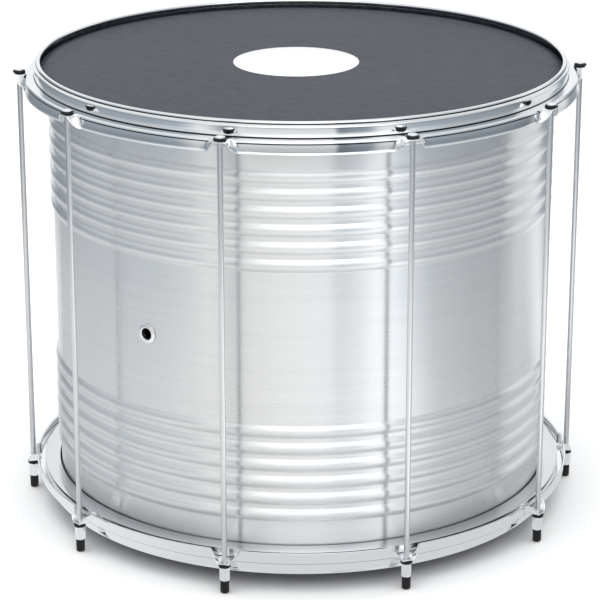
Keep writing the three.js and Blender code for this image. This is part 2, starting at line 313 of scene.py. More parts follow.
class Tree:
    """A material's or world's nodes."""

    def __init__(self, owner):
        owner.use_nodes = True
        self.owner, self.nodes, self.links = owner, owner.node_tree.nodes, owner.node_tree.links
        self.nodes.clear()

    def node(self, kind, settings=None, sockets=None, output=0):
        """Adds a node: settings first, a ramp's stops among them, then the values or links of its sockets.
        Returns the output of that name or number."""
        node = self.nodes.new(kind)
        for name, setting in (settings or {}).items():
            if name == "stops":
                self.stops(node.color_ramp, setting)
            else:
                setattr(node, name, setting)
        for name, term in (sockets or {}).items():
            if isinstance(term, Value):
                self.links.new(term.socket, node.inputs[name])
            else:
                node.inputs[name].default_value = term
        return Value(self, node.outputs[output]) if node.outputs else None

    @staticmethod
    def stops(ramp, stops):
        """Gives a ramp its places and colours."""
        ramp.elements.remove(ramp.elements[1])
        for number, (place, colour) in enumerate(stops):
            element = ramp.elements.new(place) if number else ramp.elements[0]
            element.position = place
            element.color = (*colour, 1)

    def vector(self, operation, sockets, output="Vector"):
        return self.node("ShaderNodeVectorMath", {"operation": operation}, sockets, output)

    def place(self, stretch=None):
        """Object coordinates in metres, each axis stretched where that is asked."""
        place = self.node("ShaderNodeTexCoord", output="Object")
        return place if stretch is None else self.vector("MULTIPLY", {0: place, 1: stretch})

    def height(self):
        """How high a point lies, in metres."""
        return self.node("ShaderNodeSeparateXYZ", None, {0: self.place()}, output="Z")

    def reach(self):
        """How far a point lies from the drum's axis, in metres."""
        return self.vector("LENGTH", {0: self.place((1, 1, 0))}, output="Value")

    def noise(self, place, scale, detail=3.0, roughness=0.55):
        """Noise from 0 to 1."""
        return self.node("ShaderNodeTexNoise", None,
                         {"Vector": place, "Scale": scale, "Detail": detail, "Roughness": roughness})

    def tint(self, share, low, high):
        """A colour between two, the first at a share of 0."""
        low, high = (tone if isinstance(tone, Value) else (*tone, 1) for tone in (low, high))
        return self.node("ShaderNodeMix", {"data_type": "RGBA"}, {0: share, 6: low, 7: high}, output=2)

    def scaled(self, colour, share):
        """A colour times a number."""
        return self.vector("SCALE", {0: colour, "Scale": share})

    def bump(self, height, strength, distance):
        return self.node("ShaderNodeBump", None,
                         {"Height": height, "Strength": strength, "Distance": distance})

    def surface(self, sockets):
        """Ends a material with its shader, and returns it."""
        shader = self.node("ShaderNodeBsdfPrincipled", None, sockets)
        self.node("ShaderNodeOutputMaterial", None, {"Surface": shader})
        return self.owner


def material(name):
    return Tree(bpy.data.materials.new(name))


def brushed_aluminium():
    """Shell sheet: fine lines round the drum, highlights that stand upright across them, painted shade on the
    foot.
    """
    tree = material("brushed_aluminium")
    lines = tree.noise(tree.place((6, 6, 1500)), scale=1.0, detail=4.0, roughness=0.6)
    cloud = tree.noise(tree.place((1, 1, 2.5)), scale=7.0, detail=4.0)
    streaks = tree.noise(tree.place((1, 1, 30)), scale=4.0, detail=5.0, roughness=0.6)
    sheet = tree.tint(lines * 0.3 + streaks * 0.5 + cloud * 0.2, *SHELL_TONES)
    start, end = FOOT_SHADE_RISE
    # Painted shade: the sheet's colour darkens toward the shell's foot
    lit = tree.height().between(start * MM, end * MM) * (1 - FOOT_SHADE_SHARE) + FOOT_SHADE_SHARE
    return tree.surface({"Base Color": tree.scaled(sheet, lit), "Metallic": 1.0,
                         "Roughness": lines * 0.04 + cloud * 0.06 + 0.23,
                         "Anisotropic": 1.0, "Anisotropic Rotation": 0.25,
                         "Normal": tree.bump(lines, strength=0.06, distance=0.00006)})


def chrome():
    """Plated hoop sheet: a mirror with a faint orange peel, with shade painted dark into the creases. A
    crease's painted shade is 1 up to CREASE_CORE of its width away from its line and 0 from its width on."""
    tree = material("chrome_plate")
    peel = tree.noise(tree.place(), scale=60.0, detail=2.0)
    haze = tree.noise(tree.place(), scale=14.0, detail=4.0)
    reach, height = tree.reach(), tree.height()
    # Painted shade: the plate's colour turns dark along each crease line
    crease = 0.0
    for radius, level, width in PAINTED_CREASE_SHADES:
        away = ((reach - radius * MM) ** 2 + (height - level * MM) ** 2) ** 0.5
        crease = crease + (1 - away.between(CREASE_CORE * width * MM, width * MM))
    return tree.surface({"Base Color": tree.tint(crease, tree.tint(haze, *CHROME_TONES), CREASE_SHADE_TONE),
                         "Metallic": 1.0, "Roughness": haze * 0.05 + 0.05,
                         "Normal": tree.bump(peel, strength=0.05, distance=0.0003)})


def bright_plate():
    """The grommet's plate: softer than the hoops', so that it gathers light from all round."""
    tree = material("bright_plate")
    haze = tree.noise(tree.place(), scale=300.0)
    return tree.surface({"Base Color": tree.tint(haze, *PLATE_TONES), "Metallic": 1.0,
                         "Roughness": haze * 0.1 + 0.30})


def bright_zinc():
    """Plated steel of rods and nuts with fine drawn lines, darker in colour on the shafts between the hoops.
    """
    tree = material("bright_zinc")
    lines = tree.noise(tree.place((1, 1, 0.04)), scale=900.0, detail=2.0)
    height = tree.height()
    over_nut = height.between(LOWER_LEDGE * MM, (LOWER_LEDGE + SHAFT_RISE) * MM)
    shaft = over_nut * (1 - height.between(UPPER_LEDGE * MM, HEAD_SEAT * MM))
    share = lines * 0.4 + (1 - shaft) * 0.6
    return tree.surface({"Base Color": tree.tint(share, *ZINC_TONES), "Metallic": 1.0,
                         "Roughness": lines * 0.08 + 0.16,
                         "Normal": tree.bump(lines, strength=0.06, distance=0.0001)})


def satin_aluminium():
    """The flesh rings' metal, with fine lines that run round it."""
    tree = material("satin_aluminium")
    lines = tree.noise(tree.place((4, 4, 900)), scale=1.0)
    return tree.surface({"Base Color": tree.tint(lines, *RING_TONES), "Metallic": 1.0,
                         "Roughness": lines * 0.06 + 0.13,
                         "Normal": tree.bump(lines, strength=0.1, distance=0.0001)})


def napa():
    """Coated skin: fine fibres that lie one way, over a grain of small cells and soft clouds."""
    tree = material("napa_skin")
    fibres = tree.noise(tree.place((8, 60, 8)), scale=9.0, detail=6.0, roughness=0.7)
    cells = tree.node("ShaderNodeTexVoronoi", {"feature": "DISTANCE_TO_EDGE"},
                      {"Vector": tree.place(), "Scale": 900.0})
    cloud = tree.noise(tree.place(), scale=5.0, detail=5.0)
    share = fibres.between(0.3, 0.7) * 0.75 + cloud * 0.25
    relief = fibres * 0.7 + cells.between(0.0, 0.25) * 0.3
    return tree.surface({"Base Color": tree.tint(share, *SKIN_TONES), "Specular IOR Level": 0.2,
                         "Roughness": fibres * 0.12 + 0.44,
                         "Normal": tree.bump(relief, strength=0.25, distance=0.0003)})


def black_moulding(name, roughness):
    """Nylon or rubber, near black with a fine grain."""
    tree = material(name)
    grain = tree.noise(tree.place(), scale=1500.0, detail=2.0)
    return tree.surface({"Base Color": tree.tint(grain, *BLACK_TONES), "Specular IOR Level": 0.25,
                         "Roughness": grain * 0.1 + roughness,
                         "Normal": tree.bump(grain, strength=0.15, distance=0.0001)})


def white_film():
    """The centre disc's film, with the faint grain of the skin under it."""
    tree = material("white_film")
    fibre = tree.noise(tree.place(), scale=700.0)
    return tree.surface({"Base Color": tree.tint(fibre, *FILM_TONES), "Coat Weight": 0.2,
                         "Roughness": fibre * 0.1 + 0.32,
                         "Normal": tree.bump(fibre, strength=0.05, distance=0.0001)})


SHELL_FINISH = brushed_aluminium()
CHROME_FINISH = chrome()
EYELET_FINISH = bright_plate()
ZINC_FINISH = bright_zinc()
RING_FINISH = satin_aluminium()
SKIN_FINISH = napa()
WASHER_FINISH = black_moulding("black_nylon", 0.35)
CAP_FINISH = black_moulding("black_rubber", 0.45)
FILM_FINISH = white_film()

# Shell and vent

# Width of a rib's bead, how softly it meets the wall, and the wall's rows to each side of a rib's middle
RIB_BEAD, RIB_BLEND = 13.6, 0.35
RIB_STEPS = 2.1, 4.2, 5.7, 6.4, 6.8, 7.15, 7.8
RIB_STEPS_INSIDE = 5.4, 7.2
# Rows between an end and its ribs, what they keep from each, and rows from the ribs to the vent's window
END_ROWS, END_GAP, RIB_GAP, PLAIN_ROWS = 4, 1.0, 4.0, 7
# The window is the block of the wall's grid round the vent
WINDOW_HALF, WINDOW_ROWS, WINDOW_COLUMNS, WALL_COLUMNS = 29.0, 12, 8, 256
# How far from its bore the grommet's front lip reaches, and how it is rounded
EYELET_ROLL, EYELET_ROUND = 1.6, 0.7
# The solids go round in this many steps, and the eyelet's inner flange clears their flats
SOLID_STEPS = 27


def wall_line(radius, rib_steps):
    """A wall line from the shell's lower end up, and the row where the vent's window starts. Over each rib
    it lies at radius + the greater of RIB_HEIGHT * (1 - (x / half a bead's width) squared) and nothing,
    blended over RIB_BLEND, x going from the rib's middle."""
    half = np.array(rib_steps)
    step = np.concatenate([[-RIB_PITCH / 2], -half[::-1], [0], half])
    bow = RIB_HEIGHT * (1 - (step / (RIB_BEAD / 2)) ** 2)
    rise = (bow + np.sqrt(bow ** 2 + RIB_BLEND ** 2)) / 2
    rise = rise - rise[0]
    share = step / RIB_PITCH + 0.5
    group = RIB_COUNT * RIB_PITCH
    ribs = [points_at(radius + rise, (rib + share) * RIB_PITCH) for rib in range(RIB_COUNT)]
    band = np.concatenate([*ribs, [[radius, group]]])
    low, high = SHELL_BASE + RIB_MARGIN, SHELL_TOP - RIB_MARGIN
    below = np.linspace(SHELL_BASE + END_GAP, low - RIB_GAP, END_ROWS)
    above = np.linspace(high + RIB_GAP, SHELL_TOP - END_GAP, END_ROWS)
    plain = np.linspace(low + group, VENT - WINDOW_HALF, PLAIN_ROWS + 2)[1:-1]
    window = np.linspace(VENT - WINDOW_HALF, VENT + WINDOW_HALF, WINDOW_ROWS + 1)
    middle = np.concatenate([plain, window, (2 * VENT - plain)[::-1]])
    line = np.concatenate([points_at(radius, below), band + [0, low], points_at(radius, middle),
                           band + [0, high - group], points_at(radius, above)])
    return line, len(below) + len(band) + len(plain)


def wall_point(x, height, radius):
    """A wall's point on the vent's side, x aside and at a height: (x, -sqrt(r^2 - x^2), height)."""
    x, height = np.broadcast_arrays(x, height)
    return np.stack([x, -np.sqrt(radius ** 2 - x ** 2), height], -1)


def shell():
    """The rolled wall: outer line up, rounded end, inner line down, rounded end, pierced for the vent."""
    inner_radius, half_wall = SHELL_RADIUS - SHELL_WALL, SHELL_WALL / 2
    outer, outer_row = wall_line(SHELL_RADIUS, RIB_STEPS)
    inner, inner_row = wall_line(inner_radius, RIB_STEPS_INSIDE)
    top = arc((SHELL_RADIUS - half_wall, SHELL_TOP - half_wall), half_wall, 0, 180, steps=6)
    foot = arc((SHELL_RADIUS - half_wall, SHELL_BASE + half_wall), half_wall, 180, 360, steps=6)
    profile = np.concatenate([outer, top, inner[::-1], foot])
    # The inner line runs down, so its window starts at what was its last row
    inner_row = len(outer) + len(top) + len(inner) - 1 - inner_row - WINDOW_ROWS
    points = np.roll(turned(profile, WALL_COLUMNS), WINDOW_COLUMNS // 2, 1)
    hole = VENT_BORE / 2 + EYELET_WALL + SEAT
    sheet, windows = Sheet(), []
    for row, radius, way in ((outer_row, SHELL_RADIUS, 1), (inner_row, inner_radius, -1)):
        window = (row, row + WINDOW_ROWS, 0, WINDOW_COLUMNS)
        turn = sheet.pierce(
            points, window,
            lambda across, along: wall_point(hole * across, VENT + hole * along * way, radius),
            lambda place: wall_point(place[..., 0], place[..., 2], radius))
        windows.append(window)
    rims = [wall_point(hole * np.cos(turn), VENT + hole * np.sin(turn), radius)
            for radius in (inner_radius, SHELL_RADIUS)]
    sheet.grid(np.stack(rims, 1), wrap=(True, False))
    sheet.grid(points, (True, True), windows)
    sheet.mesh("shell_wall", SHELL_FINISH, "drum_body", "shell", ["shell"])


def eyelet():
    """A rolled grommet turned about its own bore and laid along -Y: (x, -z - SHELL_RADIUS, y + VENT)."""
    bore, flange = VENT_BORE / 2, EYELET_FLANGE / 2
    front = SEAT + EYELET_LIP
    back = -SHELL_WALL - SEAT - flange * math.tan(math.pi / SOLID_STEPS)
    rear = back - EYELET_LIP
    profile = rounded([(bore, rear), (bore + EYELET_WALL, rear), (flange, back - EYELET_WALL), (flange, back),
                       (bore + EYELET_WALL, back), (bore + EYELET_WALL, SEAT), (flange, SEAT),
                       (flange, SEAT + EYELET_WALL), (bore + EYELET_ROLL, front), (bore, front)],
                      EYELET_ROUND, steps=5)
    points = turned(profile, steps=96)
    laid = np.stack([points[..., 0], -points[..., 2] - SHELL_RADIUS, points[..., 1] + VENT], -1)
    Sheet().grid(laid, wrap=(True, True)).mesh(
        "vent_grommet", EYELET_FINISH, "drum_body", "eyelet", ["vent_eyelet"])


# Heads and flesh rings

# The skin's rounding and its edge's height over the slot's depth; its flat's rows end short of the shoulder
SKIN_ROUND, EDGE_LIFT = 3.0, 0.02
FLAT_ROWS, FLAT_GAP = 23, 4.0
RING_LIP, RING_LIP_THICK, RING_EASE = SHELL_RADIUS + 1.8, 2.5, 0.5


def head_profile():
    """Half a head's section, its skin's top at SKIN_ABOVE_LEDGE over the ledge: the under face out from
    the axis, over the shoulder and down the collar, and the top face back."""
    top = SKIN_ABOVE_LEDGE
    flat = SHELL_RADIUS + SKIN_SHOULDER
    inner = SKIN_OUTER - SKIN
    edge = -SHEET - SLOT_DEPTH + EDGE_LIFT
    under = rounded([(0, top - SKIN), (flat, top - SKIN), (inner, top - SKIN_DROP - SKIN), (inner, edge)],
                    SKIN_ROUND, steps=6, closed=False)
    over = rounded([(SKIN_OUTER, edge), (SKIN_OUTER, top - SKIN_DROP), (flat, top), (0, top)],
                   SKIN_ROUND, steps=6, closed=False)
    radii = np.linspace(0, flat - FLAT_GAP, FLAT_ROWS + 1)[1:]
    return np.concatenate([under[:1], points_at(radii, top - SKIN), under[1:],
                           over[:-1], points_at(radii[::-1], top), over[-1:]])


def heads():
    """Each skin in one sheet, from the middle of its flat to the end of its collar."""
    points = turned(head_profile(), steps=240)
    for name, end in (("batter", upper_end), ("resonant", lower_end)):
        Sheet().grid(end(points), wrap=(False, True)).mesh(
            name + "_skin", SKIN_FINISH, "drum_body", "skin", [name + "_head", name + "_head_collar"])


def flesh_rings():
    """Slotted rings with eased corners, under the ledge; a thin lip guides each one along the shell."""
    top = -SHEET - SEAT
    base = top - RING_HEIGHT
    lip, slot = base + RING_LIP_THICK, top - SLOT_DEPTH
    profile = rounded([(RING_LIP, lip), (RING_LIP, base), (RING_OUTER, base), (RING_OUTER, top),
                       (SLOT_OUTER, top), (SLOT_OUTER, slot), (SLOT_INNER, slot), (SLOT_INNER, top),
                       (RING_INNER, top), (RING_INNER, lip)], RING_EASE, steps=3)
    points = turned(profile, steps=240)
    for name, end, body in (("batter", upper_end, "tension_frame"), ("resonant", lower_end, "lower_rim")):
        Sheet().grid(end(points), wrap=(True, True)).mesh(
            name + "_slotted_ring", RING_FINISH, body, "flesh_ring", [name + "_flesh_ring"])


# Hoops

# The bend between ledge and skirt: the radius where it starts, its inner and middle radius, and how far
# its curve goes on along the skirt
BEND_START, BEND_INNER = SKIRT_OUTER - SKIRT_BEND, SKIRT_BEND - SHEET
BEND_MIDDLE = (SKIRT_BEND + BEND_INNER) / 2
PAST = 1.0
# How far the skirt flares, and its lip, which takes up the last share of the skirt and swells with a power
FLARE, FLARE_LIP, LIP_SHARE, LIP_POWER = 0.7, 1.2, 0.18, 1.4
# The skirt's edge is rounded by this much across the sheet and over this share of the skirt
EDGE_ROUND, EDGE_SHARE = 0.85, 0.075
# The collar's lean outward at its foot and inward from a share of its height on, in degrees
FOOT_LEAN, WALL_LEAN, WALL_SHARE = 9.0, 0.5, 0.72
FOOT_FILLET, INNER_FILLET, TUCK_PULL = 0.5, 1.2, 1.2
INNER_ROWS = 5.0, 1.0
# Points of each stretch of the section, and columns of each stretch round a lug, both ends counted
COLLAR_POINTS, BEND_POINTS, EDGE_POINTS, FACE_POINTS = 25, 8, 5, 12
FLAT_COLUMNS, FLANK_COLUMNS, PLAIN_COLUMNS = 3, 17, 23
# The block of an ear's grid round its rod: half its side, and its cells along a side
EAR_BLOCK, EAR_CELLS = 4.6, 8


def skirt_ways(turn):
    """Unit vectors (radius, height) along a skirt turned down from level, and across it to its face."""
    return np.stack([np.cos(turn), -np.sin(turn)], -1), np.stack([np.sin(turn), np.cos(turn)], -1)


def skirt(turn, radii, shares):
    """The skirt past its bend, [turn, share]: bend + across * (radius + flare) + along * reach. The reach
    grows with the share from PAST to the skirt's length, and the flare with the share and sin(turn)^2."""
    radii, shares = np.broadcast_arrays(np.asarray(radii, float), shares)
    along, across = skirt_ways(turn)
    length = SKIRT_HEIGHT - SKIRT_BEND + BEND_MIDDLE * (np.pi / 2 - turn)
    reach = PAST + shares[None] * (length[:, None] - PAST)
    flare = FLARE * shares ** 2 + FLARE_LIP * (np.clip(shares - 1 + LIP_SHARE, 0, 1) / LIP_SHARE) ** LIP_POWER
    lift = radii[None] + flare[None] * np.sin(turn)[:, None] ** 2
    flat = lift[..., None] * across[:, None] + reach[..., None] * along[:, None]
    return flat + [BEND_START, -SKIRT_BEND]


def bend(turn, radius, shares):
    """The bend, [turn, share]: a quadratic curve, (1 - t)^2 * start + 2 t (1 - t) * corner + t^2 * end,
    from the ledge to PAST along the skirt, its corner where the two ends' tangents meet."""
    along, across = skirt_ways(turn)
    t = shares[None, :, None]
    start = np.broadcast_to([BEND_START, -SKIRT_BEND + radius], (len(turn), 1, 2))
    end = (radius * across + PAST * along + [BEND_START, -SKIRT_BEND])[:, None]
    corner = start + (np.tan(turn / 2) * radius)[:, None, None] * np.array([1.0, 0.0])
    return (1 - t) ** 2 * start + 2 * t * (1 - t) * corner + t ** 2 * end


def summed(slope, step):
    """A slope's running sum over steps, from 0."""
    return np.concatenate([[0], np.cumsum(step * (slope[1:] + slope[:-1]) / 2)])


def collar_line(low, end):
    """The collar from its fillet to the bead's crease. Its lean goes from FOOT_LEAN outward to WALL_LEAN
    inward over WALL_SHARE of the height, and then on in a sweep that is worked out so that the line ends
    in the crease."""
    share = np.linspace(0, 1, COLLAR_POINTS)
    height = low + share * (end[1] - low)
    step = np.diff(height)
    sweep = np.clip((share - WALL_SHARE) / (1 - WALL_SHARE), 0, 1) ** 2
    lean = np.tan(np.radians(-FOOT_LEAN + (FOOT_LEAN + WALL_LEAN) * np.minimum(share / WALL_SHARE, 1)))
    inset, extra = summed(lean, step), summed(sweep, step)
    missing = COLLAR_OUTER - end[0] - inset[-1]
    return np.stack([COLLAR_OUTER - inset - extra * missing / extra[-1], height], -1)


def rim_line():
    """The stretch of the sheet that is the same all round: from the ledge up the collar's outer face,
    round the bead and its tuck, down the inner face and back under the ledge."""
    bead_centre = (COLLAR_OUTER - BEAD_INSET, COLLAR_HEIGHT - BEAD_RADIUS)
    bead = arc(bead_centre, BEAD_RADIUS, BEAD_START, BEAD_START + BEAD_SWEEP, steps=26)
    fillet = arc((COLLAR_OUTER + FOOT_FILLET, FOOT_FILLET), FOOT_FILLET, 270, 180, steps=4)
    collar = collar_line(FOOT_FILLET, bead[0])
    tuck_end = (COLLAR_INNER, COLLAR_HEIGHT - SHOULDER_DROP - SHEET)
    tuck = bezier(bead[-1], bead[-1] - bead[-2], tuck_end, (0, -1), TUCK_PULL, steps=6)
    foot = arc((COLLAR_INNER + INNER_FILLET, -SHEET + INNER_FILLET), INNER_FILLET, 180, 270, steps=4)
    return np.concatenate([fillet, collar[1:], bead[1:], tuck[1:], points_at(COLLAR_INNER, INNER_ROWS), foot])


def hoop_section(turn):
    """The sheet's section for each turn of its skirt, [turn, corner, (radius, height)], its ledge at
    height 0, and the rows where the blocks of an ear's top and under face start."""
    ear_end = BEND_START + SKIRT_HEIGHT - SKIRT_BEND + BEND_MIDDLE * np.pi / 2
    low, high = ((ROD_CIRCLE + side - BEND_START - PAST) / (ear_end - BEND_START - PAST)
                 for side in (-EAR_BLOCK, EAR_BLOCK))
    block = np.linspace(low, high, EAR_CELLS + 1)
    edge_start = 1 - EDGE_SHARE
    quarter = np.linspace(0, 1, EDGE_POINTS) * np.pi / 2
    edge_top = skirt(turn, SKIRT_BEND - EDGE_ROUND * (1 - np.sin(quarter)),
                     edge_start + (1 - edge_start) * np.cos(quarter))
    edge_foot = skirt(turn, BEND_INNER + EDGE_ROUND * (1 - np.cos(quarter)),
                      edge_start + (1 - edge_start) * np.sin(quarter))
    rest = np.linspace(edge_start, high, FACE_POINTS)[1:-1]
    top_face = skirt(turn, SKIRT_BEND, np.concatenate([rest, block[::-1], [low / 2]]))
    under_face = skirt(turn, BEND_INNER, np.concatenate([[low / 2], block, rest[::-1]]))
    shares = np.linspace(0, 1, BEND_POINTS)
    rim = rim_line()
    section = np.concatenate([edge_top, top_face, bend(turn, SKIRT_BEND, shares[::-1]),
                              np.broadcast_to(rim, (len(turn), *rim.shape)),
                              bend(turn, BEND_INNER, shares), under_face, edge_foot], 1)
    top_row = edge_top.shape[1] + len(rest)
    under_row = section.shape[1] - edge_foot.shape[1] - len(rest) - len(block)
    return section, top_row, under_row


def ear_columns(pitch):
    """Distances round the skirt from a lug to the next one's flank, and the column where its block starts."""
    block = np.linspace(-EAR_BLOCK, EAR_BLOCK, EAR_CELLS + 1)
    flat = np.linspace(EAR_BLOCK, EAR_FLAT, FLAT_COLUMNS)[1:]
    flank = np.linspace(EAR_FLAT, EAR_HALF, FLANK_COLUMNS)[1:]
    plain = np.linspace(EAR_HALF, pitch - EAR_HALF, PLAIN_COLUMNS)[1:-1]
    return np.concatenate([-flank[::-1], -flat[::-1], block, flat, flank, plain]), len(flank) + len(flat)


def ear_hole(angle, height, across, along):
    """The rim of an ear's hole: the rod's place + radius * (across * sideways + along * outward)."""
    sideways, spoke = outward(angle + 90), outward(angle)
    rim = across[:, None] * sideways + along[:, None] * spoke
    return ROD_CIRCLE * spoke + (ROD / 2 + CLEARANCE) * rim + [0, 0, height]


def hoops():
    """The pressed sheet lofted round the rim: at each lug its skirt turns out flat into an ear with a
    hole. The turn down from level is a right angle * s^2 (3 - 2 s), s going from 0 at the ear's flat to 1
    where its flank ends."""
    pitch = 2 * np.pi * SKIRT_OUTER / LUGS
    columns, first = ear_columns(pitch)
    distance = np.tile(columns, LUGS)
    angle = np.repeat(LUG_ANGLES, len(columns)) + np.degrees(distance / SKIRT_OUTER)
    nearest = distance - pitch * np.round(distance / pitch)
    share = np.clip((np.abs(nearest) - EAR_FLAT) / (EAR_HALF - EAR_FLAT), 0, 1)
    section, top_row, under_row = hoop_section(np.pi / 2 * share ** 2 * (3 - 2 * share))
    points = section[..., :1] * outward(angle)[:, None]
    points[..., 2] = section[..., 1]
    points = points.transpose(1, 0, 2)
    sheet, blocks = Sheet(), []
    for lug, lug_angle in enumerate(LUG_ANGLES):
        column = lug * len(columns) + first
        for row, height, way in ((top_row, 0.0, -1), (under_row, -SHEET, 1)):
            block = (row, row + EAR_CELLS, column, column + EAR_CELLS)
            turn = sheet.pierce(
                points, block,
                lambda across, along: ear_hole(lug_angle, height, across, way * along), rings=3)
            blocks.append(block)
            if row == top_row:
                upper = ear_hole(lug_angle, height, np.cos(turn), way * np.sin(turn))
                sheet.grid(np.stack([upper - [0, 0, SHEET], upper], 1), wrap=(True, False))
    sheet.grid(points, (True, True), blocks)
    sheet.moved(upper_end).mesh("top_rim", CHROME_FINISH, "tension_frame", "hoop", ["top_hoop"])
    sheet.moved(lambda part: lower_end(part, LUG_OFFSET)).mesh(
        "bottom_rim", CHROME_FINISH, "lower_rim", "hoop", ["bottom_hoop"])


# Rods, nuts, washers and caps

# The rod's chamfered end, its head's rounding, and the share of the head's radius where the dome starts
ROD_CHAMFER, HEAD_ROUND, DOME_START = 1.0, 0.55, 0.95
SHAFT_POINTS, DOME_POINTS = 24, 9
# The nut's columns, where its plain length starts and how many rows it has, the rows from either end up
# to there, and the cone that cuts the corners
NUT_COLUMNS, NUT_PLAIN, NUT_POINTS = 96, 1.4, 5
NUT_ENDS = np.array([0, 0.15, 0.35, 0.6, 0.9])
CONE_INSET, CONE_SLOPE, BORE_ROUND = 0.05, 1.1, 0.4
WASHER_ROUND, CAP_SIDE, CAP_LIP_ROUND = 0.6, 9.0, 0.5


def rod():
    """A plain shaft under a low domed head with an eased edge; the dome is part of a sphere."""
    foot = CAP_FLOOR + SEAT
    radius, head = ROD / 2, HEAD / 2
    sphere = (head ** 2 + HEAD_DOME ** 2) / (2 * HEAD_DOME)
    reach = head * np.linspace(DOME_START, 0, DOME_POINTS)
    dome = points_at(reach, HEAD_SEAT + HEAD_SIDE + HEAD_DOME - sphere + np.sqrt(sphere ** 2 - reach ** 2))
    side = rounded([(radius, HEAD_SEAT), (head, HEAD_SEAT), (head, HEAD_SEAT + HEAD_SIDE), dome[0]],
                   HEAD_ROUND, steps=6, closed=False)
    shaft = points_at(radius, np.linspace(foot + ROD_CHAMFER, HEAD_SEAT, SHAFT_POINTS))
    end = [[0, foot], [radius - ROD_CHAMFER, foot]]
    return turned(np.concatenate([end, shaft, side[1:], dome[1:]]), steps=32)


def nut():
    """A hexagon nut, [row, column]: across a flat, which spans 60 degrees, the radius is half the flats
    over cos(angle from its middle), cut at both ends by a cone; its bore goes back down."""
    half, bore = NUT_FLATS / 2, ROD / 2 + CLEARANCE
    side = np.arange(NUT_COLUMNS) * 360 / NUT_COLUMNS
    reach = half / np.cos(np.radians((side + 30) % 60 - 30))
    height = np.concatenate([NUT_ENDS, np.linspace(NUT_PLAIN, NUT_LENGTH - NUT_PLAIN, NUT_POINTS),
                             NUT_LENGTH - NUT_ENDS[::-1]])
    cone = half - CONE_INSET + np.minimum(height, NUT_LENGTH - height) * CONE_SLOPE
    inner = rounded([(half, NUT_LENGTH), (bore, NUT_LENGTH), (bore, 0), (half, 0)],
                    BORE_ROUND, steps=3, closed=False)[1:-1]
    radii = np.concatenate([np.minimum(reach, cone[:, None]), np.repeat(inner[:, :1], NUT_COLUMNS, 1)])
    points = radii[..., None] * outward(side)[None]
    points[..., 2] = np.concatenate([height, inner[:, 1]])[:, None]
    return points


def washer(across, thick):
    """A flat ring round a rod, its edges rounded."""
    radius, bore = across / 2, ROD / 2 + CLEARANCE
    return turned(rounded([(bore, 0), (radius, 0), (radius, thick), (bore, thick)], WASHER_ROUND, steps=4),
                  steps=48)


def foot_cap():
    """A cup with a well rounded toe over a rod's end."""
    radius, inner = CAP / 2, ROD / 2 + SEAT
    toe = arc((radius - CAP_ROUND, CAP_ROUND), CAP_ROUND, 270, 360, steps=8)
    cup = rounded([(radius, CAP_SIDE), (radius, CAP_LENGTH), (inner, CAP_LENGTH), (inner, CAP_FLOOR),
                   (0, CAP_FLOOR)], CAP_LIP_ROUND, steps=4, closed=False)
    return turned(np.concatenate([[[0, 0]], toe, cup]), steps=40)


def fastenings():
    """Ten sets on the rod circle, each turned to face outward: points * turn + place."""
    nut_washer = washer(WASHER, WASHER_THICK)
    head_washer = washer(HEAD_WASHER, HEAD_WASHER_THICK)
    # Name, points, base, whether the profile is closed, finish, body, slot
    kinds = [
        ("tension_rod", rod(), 0, False, ZINC_FINISH, "tension_frame", "rod"),
        ("tension_nut", nut(), NUT_BASE, True, ZINC_FINISH, "nut_{}", "nut"),
        ("nut_washer", nut_washer, WASHER_BASE, True, WASHER_FINISH, "lower_rim", "washer"),
        ("head_washer", head_washer, HEAD_WASHER_BASE, True, WASHER_FINISH, "tension_frame", "washer"),
        ("foot_cap", foot_cap(), 0, False, CAP_FINISH, "tension_frame", "foot_cap"),
    ]
    for lug, angle in enumerate(LUG_ANGLES):
        number = f"{lug + 1:02d}"
        place = ROD_CIRCLE * outward(angle)
        cos, sin = math.cos(math.radians(angle)), math.sin(math.radians(angle))
        turn = np.array([[cos, sin, 0], [-sin, cos, 0], [0, 0, 1]])
        for name, points, base, wrap, finish, body, slot in kinds:
            placed = points @ turn + place + [0, 0, base]
            Sheet().grid(placed, wrap=(wrap, True)).mesh(
                f"{name}_{number}_fine", finish, body.format(number), slot, [f"{name}_{number}"], sharp=35)


# Centre disc

DISC_CENTRE, DISC_RADIUS = (-4.3, -3.7), 70.0
# The film's under face and top over the skin, and how far its edge is eased downward and inward
FILM_LOW, FILM_TOP, EASE_DOWN, EASE_IN = 0.02, 0.22, 0.08, 0.1


def centre_disc():
    """A thin film on the batter skin with an eased edge."""
    skin = UPPER_LEDGE + SKIN_ABOVE_LEDGE
    low, top = skin + FILM_LOW, skin + FILM_TOP
    profile = np.concatenate([points_at(DISC_RADIUS * np.array([0, 0.5, 1]), low),
                              [[DISC_RADIUS, top - EASE_DOWN], [DISC_RADIUS - EASE_IN, top]],
                              points_at(DISC_RADIUS * np.array([0.75, 0.5, 0.25, 0]), top)])
    points = turned(profile, steps=180) + [*DISC_CENTRE, 0]
    Sheet().grid(points, wrap=(False, True)).mesh("centre_disc", FILM_FINISH, "drum_body", "skin", sharp=60)


# Studio

# The photograph's camera, as fitted: its place before the turn to its bearing, its pitch and bearing
CAMERA_PLACE, CAMERA_PITCH, CAMERA_BEARING = (-1.4, -2695.2, 1150.2), 0.33067, 35.67
FOCAL_PIXELS, PHOTO_PIXELS, SENSOR, CAMERA_FAR = 2477.86, 600, 36, 60

# One wide lamp: its diameter, power, place in metres and tilt in degrees
LAMP_SIZE, LAMP_POWER, LAMP_PLACE, LAMP_TILT = 2.4, 26, (0.05, -0.4, 2.6), (-9, 1, 0)

